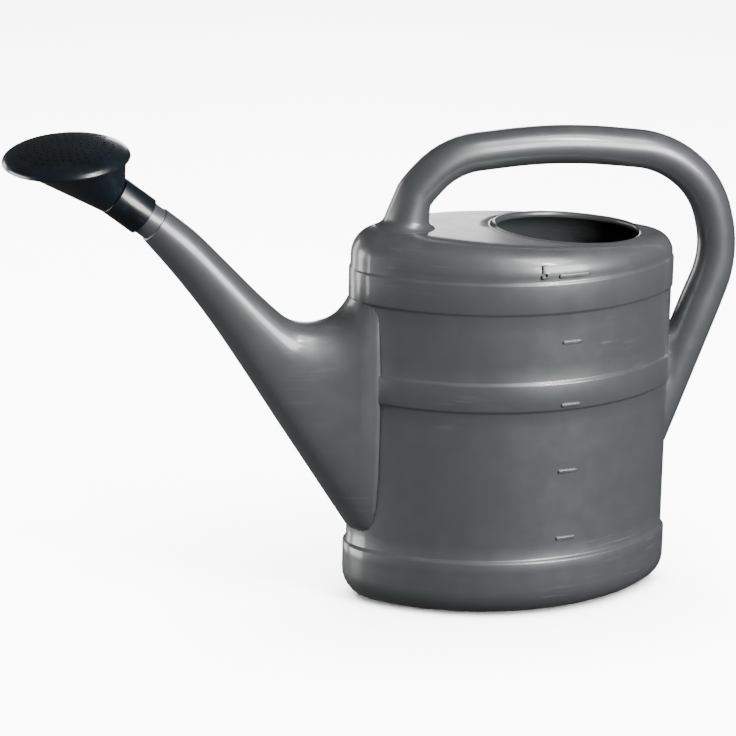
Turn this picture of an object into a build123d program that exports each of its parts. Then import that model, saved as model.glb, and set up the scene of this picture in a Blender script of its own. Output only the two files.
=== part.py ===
from build123d import *
import os
from functools import cache
from math import atan2, cos, pi, radians, sin, tan

# Five-litre oval watering can, blow-moulded in one wall thickness, with a push-on perforated rose.
# Millimetres. Origin: centre of the tank's foot on the ground. +Z up, -X towards the spout.

# ------------------------------------------------------------------ tank
BODY_HALF_LENGTH = 111.4        # outside of the wall, along X
BODY_HALF_WIDTH = 65.4          # outside of the wall, along Y
BODY_END_RADIUS = 30.0          # plan radius of the tank's two ends
WALL = 1.6
BAND_PROUD = 2.2                # base and top bands stand out of the wall by this much
MID_BAND_PROUD = 1.4
BAND_EDGE = 1.0                 # bevel along the edges of a band
BASE_BAND_HEIGHT = 39.7
MID_BAND_FOOT = 143.3
MID_BAND_HEIGHT = 19.3
TOP_BAND_FOOT = 209.3
TOP_BAND_HEIGHT = 20.8
FOOT_ROUNDING = 19.0
FLOOR_THICKNESS = 2.0

# ------------------------------------------------------------------ deck and filler mouth
DECK_HEIGHT = 252.0             # deck surface above the ground, over the origin
DECK_FALL = 3.4                 # degrees, falling towards the back
SHOULDER_ROUNDING = 14.0
MOUTH_X = 37.9
MOUTH_HALF_LENGTH = 48.5
MOUTH_HALF_WIDTH = 41.0
LIP_WIDTH = 3.4
LIP_RISE = 2.2
LIP_ROUNDING = 1.0

# ------------------------------------------------------------------ litre marks
LITRE_HEIGHTS = (54.0, 100.8, 147.0, 189.5, 234.1)
MARK_X = 21.5
MARK_LENGTH = 13.0
FULL_MARK_LENGTH = 22.0
MARK_WIDTH = 2.0
MARK_PROUD = 0.9

# ------------------------------------------------------------------ handle
HANDLE_THICKNESS = 25.8         # diameter of the grip
HANDLE_WALL = 1.6
HANDLE_SETBACK = 31.4           # foot of its centre line, back from the front of the tank
HANDLE_RISE = 57.0              # top corner of its centre line, above the deck
HANDLE_OVERHANG = 36.6          # furthest corner of its centre line, behind the tank
HANDLE_TAIL_HEIGHT = 103.0      # where the centre line ends, inside the back wall
HANDLE_ROOT_RADIUS = 16.5       # the front root swells to this at the deck
HANDLE_ROOT_HEIGHT = 24.0

# ------------------------------------------------------------------ spout and neck
SPOUT_ROOT_HALF_WIDTH = 27.5
SPOUT_WALL = 1.6
SPOUT_PORT_LOW = 66.0           # opening from the tank into the spout
SPOUT_PORT_HIGH = 192.0
NECK_REACH = 132.0              # centre of the spout's shoulder, in front of the tank
NECK_HEIGHT = 265.75            # and above the ground; the neck starts there
NECK_RISE = 38.0                # degrees above level
NECK_DIAMETER = 22.8
NECK_WALL = 2.0
NECK_SHOULDER = 0.9             # the spout ends this much larger than the neck

# ------------------------------------------------------------------ rose
ROSE_FIT = 0.06                 # radial running clearance of the sleeve on the neck
ROSE_TURN = -9.0                # degrees that the rose is turned on the neck
SLEEVE_WALL = 1.69
SLEEVE_LENGTH = 24.0
SLEEVE_START = 9.5              # along the neck from the spout's shoulder
SLEEVE_WEB = 2.0                # the sleeve's closed end, that the neck butts against
ROSE_WALL = 1.8
FACE_RADIUS = 41.0
FACE_LEAN = 4.5                 # degrees that the face leans away from the can
FACE_ALONG = 41.0               # centre of the face, along the neck's axis from the sleeve's end
FACE_OFFSET = 2.0               # and above that axis
FACE_DOME = 6.0
FACE_PLATE = 1.6
SKIRT_HEIGHT = 5.0
SKIRT_THICKNESS = 2.6
SKIRT_ROUNDING = 2.4
SKIRT_CLEARANCE = 0.2
HOLE_DIAMETER = 1.5
HOLE_PITCH = 5.0
HOLE_RINGS = 6

# ------------------------------------------------------------------ worked out from the above
TOP_BAND_TOP = TOP_BAND_FOOT + TOP_BAND_HEIGHT
SIDE_REACH = BODY_HALF_LENGTH - BODY_END_RADIUS
BODY_SIDE_RADIUS = (SIDE_REACH**2 + BODY_HALF_WIDTH**2 - BODY_END_RADIUS**2) / (
    2 * (BODY_HALF_WIDTH - BODY_END_RADIUS))
NECK_BORE = NECK_DIAMETER - 2 * NECK_WALL
NECK_LENGTH = SLEEVE_START + SLEEVE_LENGTH - SLEEVE_WEB
SLEEVE_BORE = NECK_DIAMETER + 2 * ROSE_FIT
THROAT_RADIUS = NECK_BORE / 2 + ROSE_WALL
CLEAR = 600.0                   # longer than anything that it cuts through
DECK_PLANE = Plane(Location((0, 0, DECK_HEIGHT), (0, DECK_FALL, 0)))
NECK_DIRECTION = Vector(-cos(radians(NECK_RISE)), 0, sin(radians(NECK_RISE)))
NECK_ABOVE = Vector(sin(radians(NECK_RISE)), 0, cos(radians(NECK_RISE)))
NECK_FOOT = Vector(-BODY_HALF_LENGTH - NECK_REACH, 0, NECK_HEIGHT)
NECK_AXIS = Axis(NECK_FOOT, NECK_DIRECTION)
ACROSS = (0, 1, 0)


def on_neck(distance):
    """The plane across the neck's axis, this far from the spout's shoulder."""
    return Plane(origin=NECK_FOOT + NECK_DIRECTION * distance, x_dir=ACROSS, z_dir=NECK_DIRECTION)


# ------------------------------------------------------------------ tank
def oval(half_length, half_width, end_radius):
    """A face bounded by two end arcs and two flatter side arcs, all tangent."""
    reach = half_length - end_radius
    side_radius = (reach**2 + half_width**2 - end_radius**2) / (2 * (half_width - end_radius))
    lean = atan2(side_radius - half_width, reach)
    x = reach + end_radius * cos(lean)
    y = end_radius * sin(lean)
    arcs = [
        ThreePointArc((x, y), (0, half_width), (-x, y)),
        ThreePointArc((-x, y), (-half_length, 0), (-x, -y)),
        ThreePointArc((-x, -y), (0, -half_width), (x, -y)),
        ThreePointArc((x, -y), (half_length, 0), (x, y)),
    ]
    return make_face(Wire(arcs))


def slab(grow, foot, height):
    """The tank's plan, grown outwards or drawn in all round, and raised."""
    plan = oval(BODY_HALF_LENGTH + grow, BODY_HALF_WIDTH + grow, BODY_END_RADIUS + grow)
    return Pos(0, 0, foot) * extrude(plan, height)


def band(proud, foot, height):
    ring = slab(proud, foot, height)
    edges = ring.edges().group_by(Axis.Z)
    return chamfer(edges[0] + edges[-1], min(BAND_EDGE, 0.6 * proud))


def shoulder(grow, drop, rounding):
    """A block with the tank's plan, cut by the sloping deck and rounded along its rim."""
    block = slab(grow, TOP_BAND_FOOT, DECK_HEIGHT)
    block = block - DECK_PLANE * Pos(0, 0, CLEAR / 2 - drop) * Box(CLEAR, CLEAR, CLEAR)
    lowest_rim = DECK_HEIGHT - BODY_HALF_LENGTH * tan(radians(DECK_FALL))
    room = lowest_rim - TOP_BAND_TOP - drop - 1
    return fillet(block.faces().sort_by(Axis.Z)[-1].edges(), min(rounding, room))


@cache
def tank_outside():
    base = slab(BAND_PROUD, 0, BASE_BAND_HEIGHT)
    base = chamfer(base.edges().group_by(Axis.Z)[-1], BAND_EDGE)
    base = fillet(base.edges().group_by(Axis.Z)[0], FOOT_ROUNDING)
    wall = slab(0, BASE_BAND_HEIGHT / 2, TOP_BAND_TOP - BASE_BAND_HEIGHT / 2)
    middle = band(MID_BAND_PROUD, MID_BAND_FOOT, MID_BAND_HEIGHT)
    top = band(BAND_PROUD, TOP_BAND_FOOT, TOP_BAND_HEIGHT)
    return base + wall + middle + shoulder(0, 0, SHOULDER_ROUNDING) + top


@cache
def tank_inside():
    hollow = slab(-WALL, FLOOR_THICKNESS, TOP_BAND_TOP - FLOOR_THICKNESS)
    hollow = fillet(hollow.edges().group_by(Axis.Z)[0], FOOT_ROUNDING - WALL)
    return hollow + shoulder(-WALL, WALL, SHOULDER_ROUNDING - WALL)


def slice_between(low, high):
    """A level slice of space, to divide the tank into its parts."""
    return Pos(0, 0, (low + high) / 2) * Box(CLEAR, CLEAR, high - low)


def litre_mark(height, length):
    """A raised dash that follows the near side wall."""
    ring = Cylinder(BODY_SIDE_RADIUS + MARK_PROUD, MARK_WIDTH)
    ring = ring - Cylinder(BODY_SIDE_RADIUS - WALL / 2, MARK_WIDTH)
    strip = Pos(MARK_X, -BODY_SIDE_RADIUS, 0) * Box(length, BODY_HALF_WIDTH, MARK_WIDTH)
    return Pos(0, BODY_SIDE_RADIUS - BODY_HALF_WIDTH, height) * (ring & strip)


def mouth(grow, low, high):
    """The filler mouth's ellipse, raised at right angles to the deck, in the deck's own frame."""
    face = Ellipse(MOUTH_HALF_LENGTH + grow, MOUTH_HALF_WIDTH + grow)
    return Pos(MOUTH_X, 0, low) * extrude(face, high - low)


def mouth_lip():
    lip = mouth(LIP_WIDTH, -WALL / 2, LIP_RISE)
    return DECK_PLANE * fillet(lip.edges().group_by(Axis.Z)[-1], LIP_ROUNDING)


def spout_port():
    """The tall opening with round ends, through the front wall into the spout."""
    width = 2 * (SPOUT_ROOT_HALF_WIDTH - 2 * SPOUT_WALL)
    height = SPOUT_PORT_HIGH - SPOUT_PORT_LOW
    middle = Vector(-SIDE_REACH, 0, SPOUT_PORT_LOW + height / 2)
    plane = Plane(origin=middle, x_dir=(0, 0, 1), z_dir=(-1, 0, 0))
    return extrude(plane * SlotOverall(height, width), 2 * BODY_END_RADIUS)


# ------------------------------------------------------------------ handle
def handle_line():
    """Centre line: up out of the deck, over the mouth, and down into the back of the tank."""
    front = HANDLE_SETBACK - BODY_HALF_LENGTH
    back = BODY_HALF_LENGTH + HANDLE_OVERHANG
    top = DECK_HEIGHT + HANDLE_RISE
    corners = [
        Vector(front, 0, top - 64),
        Vector(front + 6, 0, top - 35),
        Vector(front + 34, 0, top - 6),
        Vector(back - 119, 0, top),
        Vector(back - 44, 0, top - 9),
        Vector(back - 12, 0, top - 35),
        Vector(back, 0, top - 81),
        Vector(back - 17, 0, top - 125),
        Vector(BODY_HALF_LENGTH - HANDLE_THICKNESS / 2 + 1.5, 0, HANDLE_TAIL_HEIGHT),
    ]
    return FilletPolyline(*corners, radius=bend_radii(corners))


def bend_radii(corners):
    """Each bend is as large as the shorter of its two runs allows."""
    radii = []
    for before, corner, after in zip(corners, corners[1:], corners[2:]):
        run = min((corner - before).length, (after - corner).length)
        turn = radians((corner - before).get_angle(after - corner))
        radii.append(0.48 * run / tan(turn / 2))
    return radii


@cache
def handle_tube(inset):
    """A round section along the centre line."""
    line = handle_line()
    start = Plane(origin=line @ 0, x_dir=ACROSS, z_dir=line % 0)
    return sweep(start * Circle(HANDLE_THICKNESS / 2 - inset), path=line)


def handle_root():
    """The swelling at the foot of the handle's front leg."""
    line = handle_line()
    swell = Cone(HANDLE_ROOT_RADIUS, HANDLE_THICKNESS / 2, HANDLE_ROOT_HEIGHT,
                 align=(Align.CENTER, Align.CENTER, Align.MIN))
    return Plane(origin=line @ 0, x_dir=ACROSS, z_dir=line % 0) * swell


# ------------------------------------------------------------------ spout and neck
# Distance in front of the tank and height: underside, then top, from inside the tank outwards.
SPOUT_STATIONS = [
    (-19.4, 20.0, -19.4, 240.0),
    (-3.4, 44.7, -4.4, 217.5),
    (4.6, 57.3, 3.1, 205.5),
    (12.6, 69.8, 11.6, 198.0),
    (22.6, 85.5, 22.1, 194.8),
    (36.6, 107.5, 33.1, 194.8),
    (51.6, 131.0, 44.6, 199.0),
    (72.6, 164.5, 62.6, 215.5),
    (95.4, 199.5, 84.6, 238.5),
    (117.6, 229.5, 105.1, 259.5),
]


def spout_stations():
    """The rows above, and the round end where the neck's shoulder is."""
    wall = BODY_HALF_LENGTH
    rows = [(Vector(-wall - a, 0, b), Vector(-wall - c, 0, d)) for a, b, c, d in SPOUT_STATIONS]
    radius = NECK_DIAMETER / 2 + NECK_SHOULDER
    rows.append((NECK_FOOT - NECK_ABOVE * radius, NECK_FOOT + NECK_ABOVE * radius))
    return rows


@cache
def spout_body(inset):
    """Tall rounded sections from inside the tank to the neck, drawn in by the wall where asked."""
    rows = spout_stations()
    neck_half_width = NECK_DIAMETER / 2 + NECK_SHOULDER / 2
    sections = []
    for index, (low, high) in enumerate(rows):
        along = (index / (len(rows) - 1)) ** 1.15
        upward = (high - low).normalized()
        half_width = SPOUT_ROOT_HALF_WIDTH + (neck_half_width - SPOUT_ROOT_HALF_WIDTH) * along - inset
        half_height = (high - low).length / 2 - inset * wall_slant(rows, index)
        plane = Plane(origin=(low + high) / 2, x_dir=upward, z_dir=upward.cross(Vector(*ACROSS)))
        sections.append(plane * oval(half_height, half_width, half_width * (0.76 + 0.12 * along)))
    return loft(sections)


def wall_slant(rows, index):
    """How much longer the wall is along the section than square to the spout's underside."""
    before = rows[max(index - 1, 0)][0]
    after = rows[min(index + 1, len(rows) - 1)][0]
    angle = (after - before).get_angle(rows[index][1] - rows[index][0])
    return 1 / max(sin(radians(angle)), 0.4)


def neck_bore(start, end):
    return extrude(on_neck(start) * Circle(NECK_BORE / 2), end - start)


# ------------------------------------------------------------------ rose
def face_plane():
    """The rim of the rose's face, before the rose is turned on the neck."""
    lean = radians(FACE_LEAN)
    start = on_neck(SLEEVE_START + SLEEVE_LENGTH).origin
    centre = start + NECK_DIRECTION * FACE_ALONG + NECK_ABOVE * FACE_OFFSET
    return Plane(origin=centre, x_dir=ACROSS, z_dir=(-sin(lean), 0, cos(lean)))


def turned(shape):
    return shape.rotate(NECK_AXIS, ROSE_TURN)


def funnel(throat_radius, rim_radius, reach):
    """A cone from the round throat, square to the neck, to the leaning rim under the face."""
    throat = on_neck(SLEEVE_START + SLEEVE_LENGTH) * Circle(throat_radius)
    rim = face_plane() * Pos(0, 0, reach) * Circle(rim_radius)
    return loft([throat, rim], ruled=True)


def face_hole(radius, angle):
    spot = Pos(radius * cos(angle), radius * sin(angle), 0)
    return spot * Cylinder(HOLE_DIAMETER / 2, 4 * FACE_DOME)


def dome_arc(rise, radius, edge):
    """An arc from the centre line down to the edge, as a radius and height."""
    ball = (radius**2 + rise**2) / (2 * rise)
    half = radius / 2
    return ThreePointArc((0, edge + rise), (half, edge + rise - ball + (ball**2 - half**2) ** 0.5),
                         (radius, edge))


# ------------------------------------------------------------------ the parts, one by one
def make_tank_base():
    """Floor, rounded foot and base band."""
    return (tank_outside() & slice_between(0, BASE_BAND_HEIGHT)) - tank_inside()


def make_tank_wall():
    """Upright wall with the middle band, four litre marks, and the ports to spout and handle."""
    wall = (tank_outside() & slice_between(BASE_BAND_HEIGHT, TOP_BAND_FOOT)) - tank_inside()
    for height in LITRE_HEIGHTS[:-1]:
        wall = wall + litre_mark(height, MARK_LENGTH)
    return wall - spout_port() - handle_tube(HANDLE_WALL)


def make_tank_top():
    """Top band, shoulder and sloping deck, with the filler mouth, its lip and the full mark."""
    top = (tank_outside() & slice_between(TOP_BAND_FOOT, DECK_HEIGHT + 60)) - tank_inside()
    top = top + mouth_lip() + litre_mark(LITRE_HEIGHTS[-1], FULL_MARK_LENGTH)
    return top - DECK_PLANE * mouth(0, -30, 30) - handle_tube(HANDLE_WALL)


def make_handle():
    """Hollow grip, open at both ends into the tank."""
    return handle_tube(0) + handle_root() - tank_outside() - handle_tube(HANDLE_WALL)


def make_spout():
    """Hollow tapering spout, open to the tank and to the neck."""
    return spout_body(0) - tank_outside() - spout_body(SPOUT_WALL) - neck_bore(-6, 6)


def make_spout_neck():
    """The round tube that the rose pushes onto."""
    tube = extrude(on_neck(0) * Circle(NECK_DIAMETER / 2), NECK_LENGTH)
    return tube - neck_bore(-1, NECK_LENGTH + 1)


def make_rose_sleeve():
    """Push-on sleeve, with a web at its far end that stops against the neck."""
    sleeve = extrude(on_neck(SLEEVE_START) * Circle(SLEEVE_BORE / 2 + SLEEVE_WALL), SLEEVE_LENGTH)
    bore = on_neck(SLEEVE_START) * Circle(SLEEVE_BORE / 2)
    sleeve = sleeve - extrude(bore, SLEEVE_LENGTH - SLEEVE_WEB)
    return sleeve - neck_bore(SLEEVE_START, SLEEVE_START + SLEEVE_LENGTH + 1)


def make_rose_funnel():
    """Cone that spreads the water under the face."""
    rim = FACE_RADIUS - SKIRT_THICKNESS - SKIRT_CLEARANCE
    outside = funnel(THROAT_RADIUS, rim, 0)
    inside = funnel(NECK_BORE / 2, rim - ROSE_WALL, 0)
    return turned(outside - inside)


def make_rose_face():
    """Domed perforated plate with a rounded skirt that caps the funnel."""
    inner = FACE_RADIUS - SKIRT_THICKNESS
    crown = FACE_RADIUS - SKIRT_ROUNDING
    seat = inner - ROSE_WALL - SKIRT_CLEARANCE - 0.5
    outline = Wire([
        dome_arc(FACE_DOME, crown, SKIRT_ROUNDING),
        ThreePointArc((crown, SKIRT_ROUNDING), (crown + SKIRT_ROUNDING * 0.707, SKIRT_ROUNDING * 0.707),
                      (FACE_RADIUS, 0)),
        Line((FACE_RADIUS, 0), (FACE_RADIUS, SKIRT_ROUNDING - SKIRT_HEIGHT)),
        Line((FACE_RADIUS, SKIRT_ROUNDING - SKIRT_HEIGHT), (inner, SKIRT_ROUNDING - SKIRT_HEIGHT)),
        Line((inner, SKIRT_ROUNDING - SKIRT_HEIGHT), (inner, 0)),
        Line((inner, 0), (seat, 0)),
        dome_arc(FACE_DOME + SKIRT_ROUNDING - FACE_PLATE, seat, 0),
        Line((0, FACE_DOME + SKIRT_ROUNDING - FACE_PLATE), (0, FACE_DOME + SKIRT_ROUNDING)),
    ])
    plate = revolve(Plane.XZ * make_face(outline), Axis.Z)
    holes = [face_hole(0, 0)]
    for ring in range(1, HOLE_RINGS + 1):
        count = round(2 * pi * ring)
        holes += [face_hole(ring * HOLE_PITCH, 2 * pi * (k + ring % 2 / 2) / count) for k in range(count)]
    return turned(face_plane() * (plate - holes))


PARTS = {
    "tank_base": make_tank_base,
    "tank_wall": make_tank_wall,
    "tank_top": make_tank_top,
    "handle": make_handle,
    "spout": make_spout,
    "spout_neck": make_spout_neck,
    "rose_sleeve": make_rose_sleeve,
    "rose_funnel": make_rose_funnel,
    "rose_face": make_rose_face,
}


def main():
    os.makedirs("parts", exist_ok=True)
    for name, make in PARTS.items():
        export_step(make(), f"parts/{name}.step")


if __name__ == "__main__":
    main()
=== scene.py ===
"""Oval garden watering can: its finished surfaces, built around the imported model.

Lengths in the property groups are metres, in the model's own frame: +Z up, -X towards the spout, and the
origin on the ground under the middle of the tank.
"""
from math import acos, atan2, cos, hypot, pi, radians, sin, sqrt, tan

import bmesh
import bpy
from bpy.props import FloatProperty, FloatVectorProperty, IntProperty, PointerProperty
from mathutils import Matrix, Vector


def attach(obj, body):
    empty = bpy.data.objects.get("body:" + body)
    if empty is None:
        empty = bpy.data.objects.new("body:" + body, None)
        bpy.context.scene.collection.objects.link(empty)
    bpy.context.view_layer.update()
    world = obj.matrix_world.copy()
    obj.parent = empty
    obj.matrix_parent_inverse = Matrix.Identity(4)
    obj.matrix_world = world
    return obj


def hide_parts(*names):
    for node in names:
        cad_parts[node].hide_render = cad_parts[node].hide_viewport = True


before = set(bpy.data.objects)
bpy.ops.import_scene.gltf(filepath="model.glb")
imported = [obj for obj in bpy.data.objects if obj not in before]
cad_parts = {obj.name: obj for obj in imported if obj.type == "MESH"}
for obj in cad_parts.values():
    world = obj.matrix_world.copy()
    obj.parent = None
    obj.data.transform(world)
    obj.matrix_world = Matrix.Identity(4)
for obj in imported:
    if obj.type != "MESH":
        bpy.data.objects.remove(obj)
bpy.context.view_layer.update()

bl_info = {
    "name": "Oval Watering Can",
    "version": (1, 0, 0),
    "blender": (4, 5, 0),
    "location": "View3D > Sidebar > Watering Can",
    "description": "Builds the moulded can, its handle, spout and rose, and a small studio",
    "category": "Object",
}

MM = 0.001
RING = 144                      # points round the tank
TUBE = 40                       # points round the handle and the spout
ROSE_RING = 72                  # points round the sleeve and the funnel
FACE_RING = 96                  # points round the perforated face
HOLE_SIDES = 12                 # sides of a hole in the face
FOOT_STEPS = 8                  # rings up the foot's rounding, outside
INNER_FOOT_STEPS = 6            # rings up the foot's rounding, inside
SHOULDER_STEPS = 12             # rings over the shoulder
DECK_STEPS = 9                  # rings across the deck
FUNNEL_STEPS = 12               # rings along the funnel
SPOUT_STEPS = 5                 # rings between two of the spout's stations
CREASE = 38                     # edges sharper than this many degrees stay sharp


def length(name, description, millimetres):
    """A size that a user may change, shown as a length."""
    return FloatProperty(name=name, description=description, default=millimetres * MM, unit="LENGTH",
                         precision=4)


def degrees_of(name, description, value):
    return FloatProperty(name=name, description=description, default=radians(value), subtype="ANGLE")


def share(name, description, value):
    return FloatProperty(name=name, description=description, default=value, min=0, max=1, subtype="FACTOR")


def colour(name, description, value):
    return FloatVectorProperty(name=name, description=description, default=value, size=3, min=0, max=1,
                               subtype="COLOR")


class TankSizes(bpy.types.PropertyGroup):
    """The oval tank, its bands, deck and filler mouth."""
    half_length: length("Half length", "Middle of the tank to its end wall", 111.4)
    half_width: length("Half width", "Middle of the tank to its side wall", 65.4)
    end_radius: length("End radius", "Plan radius of the two ends", 30.0)
    wall: length("Wall", "Thickness of the moulded wall", 1.6)
    foot_radius: length("Foot rounding", "Rounding under the tank", 19.0)
    foot_recess: length("Foot recess", "How far the middle of the floor is raised", 1.8)
    band_proud: length("Base band height", "How far the base band stands out", 2.2)
    top_band_proud: length("Top band height", "How far the top band stands out", 1.0)
    mid_band_proud: length("Middle band height", "How far the middle band stands out", 1.4)
    band_edge: length("Band edge", "Height over which a band's edge runs out", 2.6)
    base_band_top: length("Base band top", "Height of the base band", 39.7)
    mid_band_low: length("Middle band foot", "Height of the middle band's lower edge", 143.3)
    mid_band_high: length("Middle band top", "Height of the middle band's upper edge", 162.6)
    top_band_low: length("Top band foot", "Height of the top band's lower edge", 209.3)
    top_band_high: length("Top band top", "Height of the top band's upper edge", 230.1)
    deck_height: length("Deck height", "Height of the deck over the middle of the tank", 252.0)
    deck_fall: degrees_of("Deck fall", "Slope of the deck towards the back", 3.4)
    deck_crown: length("Deck crown", "Fall of the deck from its middle line to its sides", 0.8)
    front_shoulder: length("Front shoulder", "Rounding of the deck's rim at the spout end", 21.0)
    back_shoulder: length("Back shoulder", "Rounding of the deck's rim at the other end", 13.0)
    mouth_x: length("Mouth place", "Middle of the filler mouth, behind the middle of the tank", 37.9)
    mouth_half_length: length("Mouth half length", "Half of the filler mouth, lengthwise", 48.5)
    mouth_half_width: length("Mouth half width", "Half of the filler mouth, crosswise", 41.0)
    lip_rise: length("Lip rise", "How far the mouth's lip stands above the deck", 2.0)
    near_lip: share("Near lip", "Share of the lip's rise that is left on the near side", 0.2)


class HandleSizes(bpy.types.PropertyGroup):
    """The hollow loop handle."""
    thickness: length("Thickness", "Diameter of the grip", 25.8)
    setback: length("Setback", "Foot of the front leg, behind the front of the tank", 31.4)
    rise: length("Rise", "Top of the loop above the deck", 57.0)
    overhang: length("Overhang", "Loop behind the back of the tank", 36.6)
    tail_height: length("Tail height", "Where the tail ends in the back wall", 103.0)
    root_swell: share("Root swell", "How much thicker the front leg is at the deck", 0.22)
    tail_swell: share("Tail swell", "How much thicker the back leg is", 0.085)
    root_fillet: length("Root fillet", "Rounding where the front leg meets the deck", 6.5)
    tail_flare: length("Tail flare", "Rounding where the back leg meets the tank", 7.0)


class SpoutSizes(bpy.types.PropertyGroup):
    """The tapering spout and the round neck."""
    root_half_width: length("Root half width", "Half the spout's width at the tank", 27.5)
    neck_reach: length("Neck reach", "Neck's shoulder in front of the tank", 132.0)
    neck_height: length("Neck height", "Neck's shoulder above the ground", 265.75)
    neck_rise: degrees_of("Neck rise", "Slope of the neck", 38.0)
    neck_diameter: length("Neck diameter", "Outside of the neck", 22.8)
    neck_bore: length("Neck bore", "Inside of the neck", 18.8)
    neck_length: length("Neck length", "Shoulder to open end", 31.5)
    neck_shoulder: length("Neck shoulder", "The spout ends this much larger than the neck", 0.9)
    root_rounding: length("Root rounding", "Rounding of the spout's edge against the tank", 2.4)


class MarkSizes(bpy.types.PropertyGroup):
    """Raised litre marks on the near side of the tank."""
    first: length("First mark", "Height of the one-litre mark", 54.0)
    second: length("Second mark", "Height of the two-litre mark", 100.8)
    third: length("Third mark", "Height of the three-litre mark", 147.0)
    fourth: length("Fourth mark", "Height of the four-litre mark", 189.5)
    full: length("Full mark", "Height of the five-litre mark", 234.6)
    place: length("Place", "Middle of the marks, behind the middle of the tank", 21.5)
    dash: length("Dash", "Length of a litre mark", 14.0)
    full_dash: length("Full dash", "Length of the five-litre mark", 22.5)
    width: length("Width", "Height of a litre mark", 2.2)
    full_width: length("Full width", "Height of the five-litre mark", 3.08)
    proud: length("Proud", "How far a mark stands out of the wall", 1.1)
    numeral: length("Numeral", "Height of the numeral beside the full mark", 8.6)
    numeral_gap: length("Numeral gap", "Middle of the numeral in front of the full mark's end", 9.4)
    numeral_rise: length("Numeral rise", "Middle of the numeral above the full mark", 3.0)


class RoseSizes(bpy.types.PropertyGroup):
    """The push-on rose."""
    turn: degrees_of("Turn", "Turn of the rose about the neck", -9.0)
    fit: length("Fit", "Clearance between the sleeve and the neck", 0.06)
    sleeve_diameter: length("Sleeve diameter", "Outside of the sleeve", 26.3)
    sleeve_length: length("Sleeve length", "Length of the sleeve", 24.0)
    sleeve_start: length("Sleeve start", "Sleeve's mouth beyond the spout's shoulder", 9.5)
    sleeve_web: length("Sleeve web", "Thickness of the sleeve's far end", 2.0)
    throat: length("Throat radius", "Outside of the funnel at the sleeve", 11.2)
    wall: length("Wall", "Thickness of the funnel", 1.8)
    face_radius: length("Face radius", "Radius of the perforated face", 41.0)
    face_lean: degrees_of("Face lean", "Lean of the face away from the can", 4.5)
    face_along: length("Face distance", "Middle of the face beyond the sleeve", 41.0)
    face_offset: length("Face offset", "Middle of the face above the neck's axis", 2.0)
    dome: length("Dome", "Rise of the face's dome", 5.2)
    plate: length("Plate", "Thickness of the face", 1.6)
    skirt: length("Skirt", "Height of the face's skirt", 5.0)
    skirt_wall: length("Skirt wall", "Thickness of the skirt", 2.6)
    hem: length("Hem", "Rounding of the skirt's lower edge", 0.9)
    rim_rounding: length("Rim rounding", "Rounding of the face's edge", 2.4)
    hole: length("Hole", "Diameter of a hole", 1.5)
    pitch: length("Pitch", "Distance between rings of holes", 5.0)
    rings: IntProperty(name="Rings", description="Rings of holes round the middle one", default=6, min=1)


class StudioSettings(bpy.types.PropertyGroup):
    """Where the camera stands, and the lights round the can."""
    azimuth: degrees_of("Camera azimuth", "Seen from the near side, turned towards the spout", -15.794)
    elevation: degrees_of("Camera elevation", "Height of the camera as an angle", 16.468)
    roll: degrees_of("Camera roll", "Turn of the camera about its line of sight", 1.095)
    distance: length("Camera distance", "From the camera to the point it looks at", 2116.6)
    target_x: length("Target X", "The point looked at, along the can", -99.05)
    target_z: length("Target Z", "The point looked at, above the ground", 160.5)
    lens: FloatProperty(name="Lens", description="Focal length in millimetres", default=155.74)
    floor_size: length("Floor size", "Side of the pale floor", 6000.0)
    aim_x: length("Lights' aim", "The point that the lights face, along the can", -60.0)
    light_distance: length("Light distance", "From the can to each soft box", 2200.0)
    floor_light_height: length("Floor light height", "Lamp over the floor", 3000.0)
    floor_light_size: length("Floor light size", "Side of the lamp over the floor", 5000.0)
    floor_light_power: FloatProperty(name="Floor light power", description="Watts", default=1900.0)
    world: FloatProperty(name="World", description="Strength of the even light all round", default=0.06)


class Finish(bpy.types.PropertyGroup):
    """Colours and gloss of the two plastics."""
    can: colour("Can colour", "Anthracite grey of the can", (0.052, 0.058, 0.058))
    can_tint: colour("Can tint", "Faint cooler cast in patches", (0.057, 0.058, 0.063))
    # Pale colour of scuffs and dust, and of the painted highlight along convex edges
    can_scuff_and_highlight: colour("Scuff colour", "Pale dry scuffs", (0.16, 0.165, 0.165))
    can_gloss: share("Can roughness", "Roughness of the can's skin", 0.36)
    can_shine: share("Can shine", "Strength of the broad shine, half is a plain plastic", 0.95)
    can_coat: share("Can sheen", "Strength of the crisper skin that the mould leaves", 0.5)
    can_coat_gloss: share("Can sheen roughness", "Roughness of that skin", 0.12)
    rose: colour("Rose colour", "Near-black of the rose", (0.003, 0.005, 0.007))
    rose_tint: colour("Rose tint", "Faint bluish cast in patches", (0.004, 0.008, 0.013))
    # Pale colour of marks and dust on the rose, and of the painted highlight along its convex edges
    rose_scuff_and_highlight: colour("Rose scuff colour", "Pale marks on the rose", (0.04, 0.05, 0.06))
    rose_gloss: share("Rose roughness", "Roughness of the rose", 0.28)
    rose_coat: share("Rose sheen", "Strength of the rose's crisper skin", 0.6)
    rose_coat_gloss: share("Rose sheen roughness", "Roughness of that skin", 0.13)
    floor: colour("Floor colour", "Pale floor", (0.93, 0.93, 0.93))


# ---------------------------------------------------------------- rings of points, and meshes made of them
def first_ring(bm, count, place):
    """A closed ring of points, each moved to its own place."""
    made = bmesh.ops.create_circle(bm, cap_ends=False, radius=1, segments=count)
    ring = sorted(made["verts"], key=lambda v: atan2(v.co.y, v.co.x) % (2 * pi - 1e-6))
    for step, vert in enumerate(ring):
        vert.co = place(step)
    return ring


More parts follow.
